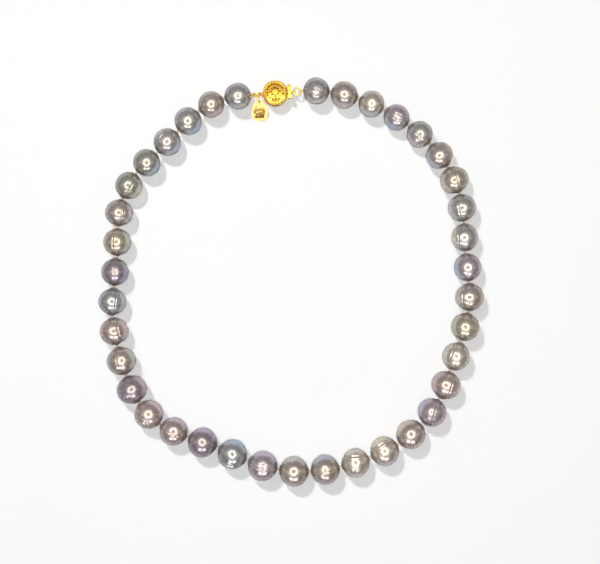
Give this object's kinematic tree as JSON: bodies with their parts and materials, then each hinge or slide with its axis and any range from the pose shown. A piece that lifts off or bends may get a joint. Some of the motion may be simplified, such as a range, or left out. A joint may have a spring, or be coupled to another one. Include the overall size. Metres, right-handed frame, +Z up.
{
  "type": "pearl necklace",
  "caption": "Knotted strand of grey ringed baroque pearls, closed by a round filigree box clasp with a sprung tongue and a small teardrop hang tag.",
  "frame": {"origin": "bottom centre of the closed necklace, on the surface that it lies on, in the middle of the loop", "axes": "+Z up from that surface, +Y towards the clasp, +X to the clasp's tongue side"},
  "size_m": [0.1488, 0.1578, 0.0122],
  "materials": {
    "pearl": "glossy nacre",
    "silk": "twisted thread",
    "gimp": "coiled fine wire",
    "gold": "polished",
    "tag_gold": "satin"
  },
  "bodies": {
    "strand_20_23": {"pearl_20": "pearl", "pearl_21": "pearl", "pearl_22": "pearl", "pearl_23": "pearl", "silk_thread": "silk"},
    "strand_01_03": {"pearl_01": "pearl", "pearl_02": "pearl", "pearl_03": "pearl", "gimp_tongue_side": "gimp"},
    "strand_04_07": {"pearl_04": "pearl", "pearl_05": "pearl", "pearl_06": "pearl", "pearl_07": "pearl"},
    "strand_08_11": {"pearl_08": "pearl", "pearl_09": "pearl", "pearl_10": "pearl", "pearl_11": "pearl"},
    "strand_12_15": {"pearl_12": "pearl", "pearl_13": "pearl", "pearl_14": "pearl", "pearl_15": "pearl"},
    "strand_16_19": {"pearl_16": "pearl", "pearl_17": "pearl", "pearl_18": "pearl", "pearl_19": "pearl"},
    "strand_24_27": {"pearl_24": "pearl", "pearl_25": "pearl", "pearl_26": "pearl", "pearl_27": "pearl"},
    "strand_28_31": {"pearl_28": "pearl", "pearl_29": "pearl", "pearl_30": "pearl", "pearl_31": "pearl"},
    "strand_32_35": {"pearl_32": "pearl", "pearl_33": "pearl", "pearl_34": "pearl", "pearl_35": "pearl"},
    "strand_36_38": {"pearl_36": "pearl", "pearl_37": "pearl", "pearl_38": "pearl", "gimp_case_side": "gimp"},
    "end_ring_tongue_side": {"end_ring_tongue_side": "gold"},
    "end_ring_case_side": {"end_ring_case_side": "gold"},
    "clasp_case": {"clasp_wall": "gold", "clasp_front_dome": "gold", "clasp_back_dome": "gold", "clasp_front_rope": "gold", "clasp_back_rope": "gold", "clasp_catch_bar": "gold", "clasp_end_loop": "gold"},
    "clasp_tongue": {"tongue_leaf": "gold", "tongue_eye": "gold"},
    "clasp_trigger": {"trigger_leaf": "gold", "thumb_tab": "gold"},
    "tag_ring": {"tag_ring": "gold"},
    "hang_tag": {"hang_tag": "tag_gold"}
  },
  "joints": [
    {"name": "strand_open", "type": "hinge", "parent": "strand_20_23", "child": "strand_16_19", "pos_m": [0.00721, -0.07308, 0.00605], "axis": [0, 0, -1], "range_deg": [0, 17.2], "deforming": ["silk_thread"]},
    {"name": "knot_15_16", "type": "hinge", "parent": "strand_16_19", "child": "strand_12_15", "pos_m": [0.05086, -0.05484, 0.00568], "axis": [0, 0, -1], "range_deg": [0, 17.2]},
    {"name": "knot_11_12", "type": "hinge", "parent": "strand_12_15", "child": "strand_08_11", "pos_m": [0.06864, -0.01156, 0.00573], "axis": [0, 0, -1], "range_deg": [0, 17.2]},
    {"name": "knot_07_08", "type": "hinge", "parent": "strand_08_11", "child": "strand_04_07", "pos_m": [0.06505, 0.03418, 0.00562], "axis": [0, 0, -1], "range_deg": [0, 17.2]},
    {"name": "knot_03_04", "type": "hinge", "parent": "strand_04_07", "child": "strand_01_03", "pos_m": [0.03588, 0.06633, 0.00517], "axis": [0, 0, -1], "range_deg": [0, 17.2]},
    {"name": "knot_23_24", "type": "hinge", "parent": "strand_20_23", "child": "strand_24_27", "pos_m": [-0.03984, -0.05978, 0.0058], "axis": [0, 0, 1], "range_deg": [0, 17.2]},
    {"name": "knot_27_28", "type": "hinge", "parent": "strand_24_27", "child": "strand_28_31", "pos_m": [-0.06709, -0.02466, 0.0057], "axis": [0, 0, 1], "range_deg": [0, 17.2]},
    {"name": "knot_31_32", "type": "hinge", "parent": "strand_28_31", "child": "strand_32_35", "pos_m": [-0.06702, 0.02106, 0.00545], "axis": [0, 0, 1], "range_deg": [0, 17.2]},
    {"name": "knot_35_36", "type": "hinge", "parent": "strand_32_35", "child": "strand_36_38", "pos_m": [-0.04366, 0.05796, 0.00543], "axis": [0, 0, 1], "range_deg": [0, 17.2]},
    {"name": "tongue_ring_swing", "type": "hinge", "parent": "strand_01_03", "child": "end_ring_tongue_side", "pos_m": [0.00377, 0.07364, 0.0045], "axis": [0, 0, 1], "range_deg": [0, 8.6]},
    {"name": "tongue_swing", "type": "hinge", "parent": "end_ring_tongue_side", "child": "clasp_tongue", "pos_m": [0.00097, 0.07339, 0.0038], "axis": [0, 0, 1], "range_deg": [0, 8.6]},
    {"name": "case_ring_swing", "type": "hinge", "parent": "strand_36_38", "child": "end_ring_case_side", "pos_m": [-0.01438, 0.07208, 0.00475], "axis": [0, 0, -1], "range_deg": [0, 8.6]},
    {"name": "case_swing", "type": "hinge", "parent": "end_ring_case_side", "child": "clasp_case", "pos_m": [-0.01158, 0.07222, 0.004], "axis": [0, 0, -1], "range_deg": [0, 8.6]},
    {"name": "trigger_press", "type": "hinge", "parent": "clasp_tongue", "child": "clasp_trigger", "pos_m": [-0.00849, 0.0725, 0.0039], "axis": [-0.0944, 0.9803, -0.1736], "range_deg": [0, 2.5], "stiffness_Nm_per_rad": 0.02},
    {"name": "tag_ring_swing", "type": "hinge", "parent": "end_ring_case_side", "child": "tag_ring", "pos_m": [-0.01331, 0.07168, 0.00304], "axis": [0, 0, 1], "range_deg": [-5, 5]},
    {"name": "tag_lift", "type": "hinge", "parent": "tag_ring", "child": "hang_tag", "pos_m": [-0.01238, 0.06969, 0.00215], "axis": [-0.9986, -0.0523, 0], "range_deg": [0, 30]}
  ],
  "couplings": [
    {"joint": "knot_15_16", "follows": "strand_open", "ratio": 1},
    {"joint": "knot_11_12", "follows": "strand_open", "ratio": 1},
    {"joint": "knot_07_08", "follows": "strand_open", "ratio": 1},
    {"joint": "knot_03_04", "follows": "strand_open", "ratio": 1},
    {"joint": "knot_23_24", "follows": "strand_open", "ratio": 1},
    {"joint": "knot_27_28", "follows": "strand_open", "ratio": 1},
    {"joint": "knot_31_32", "follows": "strand_open", "ratio": 1},
    {"joint": "knot_35_36", "follows": "strand_open", "ratio": 1},
    {"joint": "tongue_ring_swing", "follows": "strand_open", "ratio": 0.5},
    {"joint": "tongue_swing", "follows": "strand_open", "ratio": 0.5},
    {"joint": "case_ring_swing", "follows": "strand_open", "ratio": 0.5},
    {"joint": "case_swing", "follows": "strand_open", "ratio": 0.5}
  ]
}
